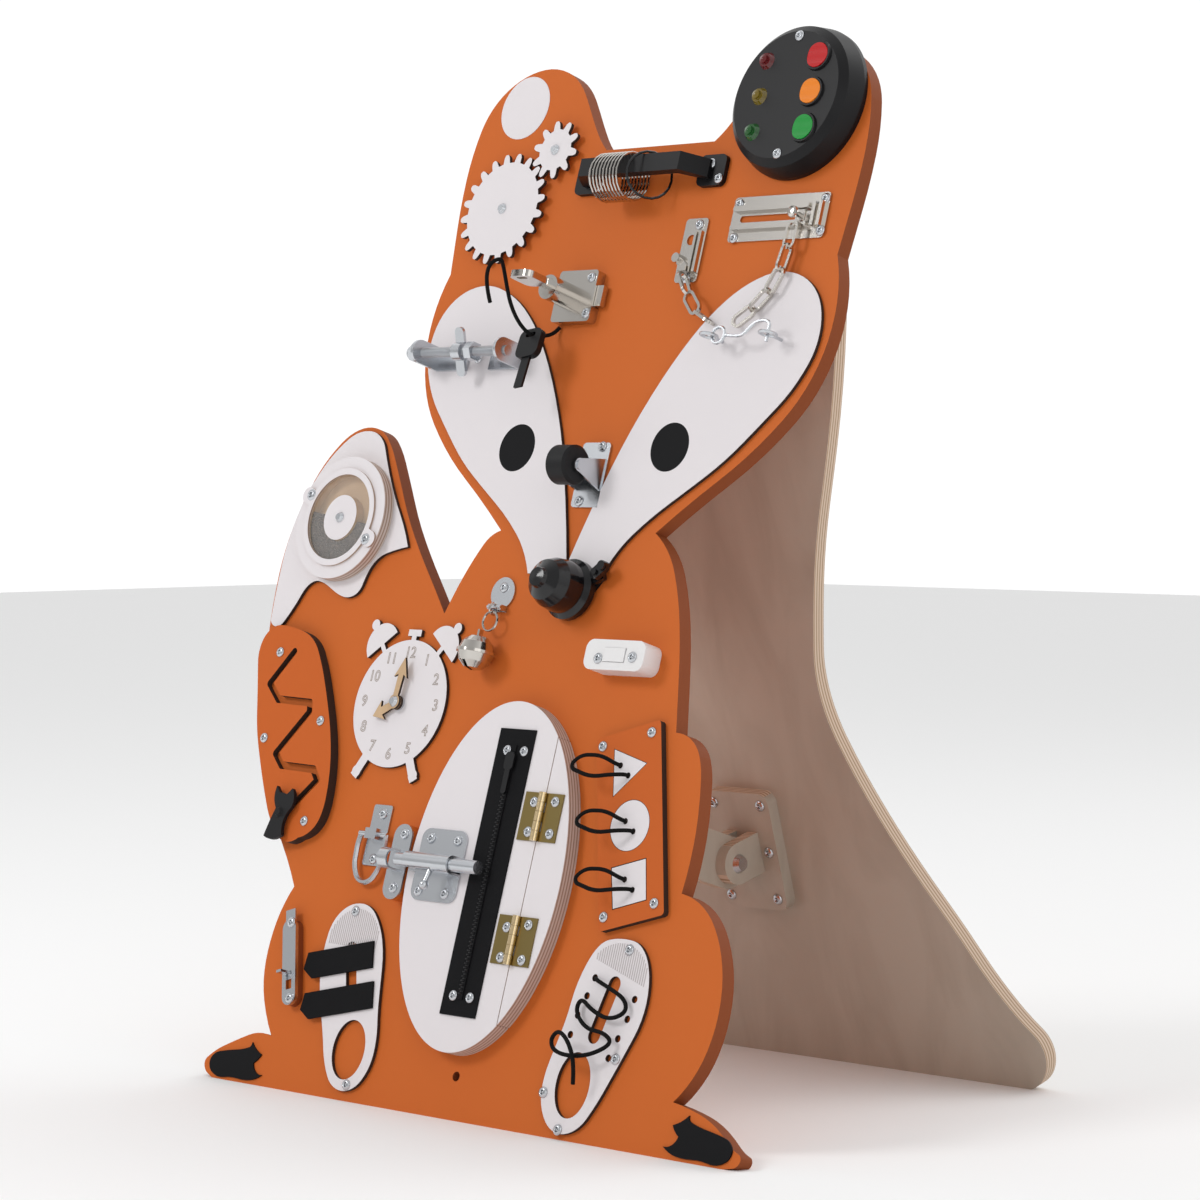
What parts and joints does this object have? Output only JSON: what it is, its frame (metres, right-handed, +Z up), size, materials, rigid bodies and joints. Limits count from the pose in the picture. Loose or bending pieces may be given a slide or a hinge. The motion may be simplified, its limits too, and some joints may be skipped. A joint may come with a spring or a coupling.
{
  "type": "busy board",
  "caption": "Freestanding plywood busy board cut as a bushy-tailed animal, with a hinged back leg and many locks, gears, bells, laces and a small door to work by hand",
  "frame": {"origin": "the floor under the middle of the front panel's level foot", "axes": "+X is to the right seen from the front, +Y runs back from the panel to the leg, +Z is up"},
  "size_m": [0.5925, 0.4078, 0.774],
  "materials": {
    "panel_paint": "matte orange paint on plywood",
    "white_paint": "matte white paint on thin plywood",
    "black_paint": "black paint on thin plywood",
    "birch_ply": "bare birch plywood with darker cut edges",
    "zinc_steel": "bright zinc plate",
    "nickel": "polished nickel plate",
    "brass_plate": "bright brass plate",
    "black_plastic": "black moulded plastic",
    "clear_plastic": "clear sheet",
    "red_plastic": "clear red plastic",
    "amber_plastic": "clear amber plastic",
    "green_plastic": "clear green plastic",
    "lamp_plastic": "clear coloured lamps in black bezels",
    "white_plastic": "white moulded plastic",
    "black_gloss": "glossy black",
    "dark_rubber": "black rubber",
    "black_lace": "black woven cord",
    "black_tape": "black woven tape",
    "dark_seeds": "small dark seeds"
  },
  "bodies": {
    "board": {"front_panel": "panel_paint", "stand_leg": "birch_ply", "stand_brace": "birch_ply", "stand_hardware": "zinc_steel", "white_covers": "white_paint", "black_covers": "black_paint", "pivot_screws": "zinc_steel", "grab_handle": "black_plastic", "light_box": "black_plastic", "box_fittings": "lamp_plastic", "chain_plates": "nickel", "door_chain": "nickel", "eyes_and_staple": "zinc_steel", "drawer_lock": "nickel", "threaded_rod": "zinc_steel", "caster_fork": "zinc_steel", "bicycle_bell": "black_gloss", "clock_face": "white_paint", "switch_case": "white_plastic", "drum_seeds": "dark_seeds", "maze_plate": "panel_paint", "belly_strip": "white_paint", "strip_hinge_leaves": "brass_plate", "latch_fixtures": "zinc_steel", "lacing_board": "panel_paint", "shoe_straps": "black_tape", "shoe_lace": "black_lace", "key_cord": "black_lace", "spare_key": "black_plastic"},
    "gear_large": {"gear_large": "white_paint"},
    "gear_small": {"gear_small": "white_paint"},
    "rings": {"grip_rings": "nickel"},
    "rocker_red": {"rocker_red": "red_plastic"},
    "rocker_amber": {"rocker_amber": "amber_plastic"},
    "rocker_green": {"rocker_green": "green_plastic"},
    "slider": {"chain_slider": "nickel"},
    "hook": {"hook": "zinc_steel"},
    "key": {"door_key": "nickel"},
    "lock_bolt": {"lock_bolt": "nickel"},
    "wing_nut": {"wing_nut": "zinc_steel"},
    "wheel": {"caster_wheel": "dark_rubber"},
    "bell_lever": {"bell_lever": "black_gloss"},
    "jingle": {"jingle_bell": "nickel"},
    "hour_hand": {"hour_hand": "birch_ply"},
    "minute_hand": {"minute_hand": "birch_ply"},
    "drum": {"sand_drum": "white_paint", "drum_window_pane": "clear_plastic"},
    "rider": {"maze_rider": "black_plastic"},
    "door": {"door_leaf": "white_paint", "door_hinge_leaves": "brass_plate", "zip_tape": "black_tape", "latch_plate": "zinc_steel"},
    "zip": {"zip_slider": "black_plastic"},
    "latch": {"latch_bolt": "zinc_steel"},
    "pull_ring": {"pull_ring": "zinc_steel"},
    "flush_bolt": {"flush_bolt": "zinc_steel"},
    "circle_shape": {"inset_circle": "white_paint"},
    "square_shape": {"inset_square": "white_paint"},
    "triangle_shape": {"inset_triangle": "white_paint"},
    "switch_key": {"switch_button": "white_plastic"}
  },
  "joints": [
    {"name": "gear_large_spin", "type": "hinge", "parent": "board", "child": "gear_large", "pos_m": [-0.148, 0.19013, 0.65626], "axis": [0, -0.9559, 0.2937], "continuous": true},
    {"name": "gear_small_spin", "type": "hinge", "parent": "board", "child": "gear_small", "pos_m": [-0.10392, 0.20335, 0.69928], "axis": [0, -0.9559, 0.2937], "continuous": true},
    {"name": "rings_slide", "type": "slide", "parent": "board", "child": "rings", "axis": [1, 0, 0], "range_m": [-0.008, 0.008]},
    {"name": "rocker_red_tilt", "type": "hinge", "parent": "board", "child": "rocker_red", "pos_m": [0.1615, 0.19986, 0.75056], "axis": [1, 0, 0], "range_deg": [-2, 2]},
    {"name": "rocker_amber_tilt", "type": "hinge", "parent": "board", "child": "rocker_amber", "pos_m": [0.1615, 0.19193, 0.72475], "axis": [1, 0, 0], "range_deg": [-2, 2]},
    {"name": "rocker_green_tilt", "type": "hinge", "parent": "board", "child": "rocker_green", "pos_m": [0.1615, 0.184, 0.69894], "axis": [1, 0, 0], "range_deg": [-2, 2]},
    {"name": "chain_slide", "type": "slide", "parent": "board", "child": "slider", "axis": [1, 0, 0], "range_m": [-0.05, 0]},
    {"name": "hook_swing", "type": "hinge", "parent": "board", "child": "hook", "pos_m": [0.114, 0.14481, 0.55301], "axis": [0, -0.9559, 0.2937], "range_deg": [0, 70]},
    {"name": "key_turn", "type": "hinge", "parent": "board", "child": "key", "pos_m": [-0.057, 0.15435, 0.59088], "axis": [0, -0.9559, 0.2937], "range_deg": [0, 90]},
    {"name": "lock_bolt_slide", "type": "slide", "parent": "board", "child": "lock_bolt", "axis": [1, 0, 0], "range_m": [-0.0032, 0]},
    {"name": "wing_nut_slide", "type": "slide", "parent": "board", "child": "wing_nut", "axis": [1, 0, 0], "range_m": [-0.03, 0.0035]},
    {"name": "caster_spin", "type": "hinge", "parent": "board", "child": "wheel", "pos_m": [0.004, 0.10728, 0.4615], "axis": [1, 0, 0], "continuous": true},
    {"name": "bell_lever_swing", "type": "hinge", "parent": "board", "child": "bell_lever", "pos_m": [0.04, 0.10135, 0.38434], "axis": [0, -0.9559, 0.2937], "range_deg": [0, 20], "stiffness_Nm_per_rad": 0.05},
    {"name": "jingle_swing", "type": "hinge", "parent": "board", "child": "jingle", "pos_m": [-0.061, 0.09629, 0.35765], "axis": [1, 0, 0], "range_deg": [-70, 0]},
    {"name": "hour_hand_spin", "type": "hinge", "parent": "board", "child": "hour_hand", "pos_m": [-0.1437, 0.07492, 0.28471], "axis": [0, -0.9559, 0.2937], "continuous": true},
    {"name": "minute_hand_spin", "type": "hinge", "parent": "board", "child": "minute_hand", "pos_m": [-0.1437, 0.07301, 0.28529], "axis": [0, -0.9559, 0.2937], "continuous": true},
    {"name": "drum_spin", "type": "hinge", "parent": "board", "child": "drum", "pos_m": [-0.2463, 0.11431, 0.41969], "axis": [0, -0.9559, 0.2937], "continuous": true},
    {"name": "rider_slide", "type": "slide", "parent": "board", "child": "rider", "axis": [0.7071, 0.2077, 0.6759], "range_m": [0, 0.033]},
    {"name": "door_swing", "type": "hinge", "parent": "board", "child": "door", "pos_m": [0.0387, 0.03009, 0.17044], "axis": [0, 0.2937, 0.9559], "range_deg": [0, 90]},
    {"name": "zip_slide", "type": "slide", "parent": "door", "child": "zip", "axis": [0, -0.2937, -0.9559], "range_m": [0, 0.15]},
    {"name": "latch_slide", "type": "slide", "parent": "door", "child": "latch", "axis": [-1, 0, 0], "range_m": [0, 0.025]},
    {"name": "pull_ring_swing", "type": "hinge", "parent": "board", "child": "pull_ring", "pos_m": [-0.1375, 0.04641, 0.18885], "axis": [1, 0, 0], "range_deg": [-90, 0]},
    {"name": "flush_bolt_slide", "type": "slide", "parent": "board", "child": "flush_bolt", "axis": [0.3024, -0.28, -0.9112], "range_m": [0, 0.008]},
    {"name": "circle_lift", "type": "slide", "parent": "board", "child": "circle_shape", "axis": [0, -0.9559, 0.2937], "range_m": [0, 0.02]},
    {"name": "square_lift", "type": "slide", "parent": "board", "child": "square_shape", "axis": [0, -0.9559, 0.2937], "range_m": [0, 0.02]},
    {"name": "triangle_lift", "type": "slide", "parent": "board", "child": "triangle_shape", "axis": [0, -0.9559, 0.2937], "range_m": [0, 0.02]},
    {"name": "switch_press", "type": "slide", "parent": "board", "child": "switch_key", "axis": [0, 0.9559, -0.2937], "range_m": [0, 0.001]}
  ],
  "couplings": [
    {"joint": "gear_small_spin", "follows": "gear_large_spin", "ratio": -2},
    {"joint": "lock_bolt_slide", "follows": "key_turn", "m_per_rad": -0.0020362}
  ]
}
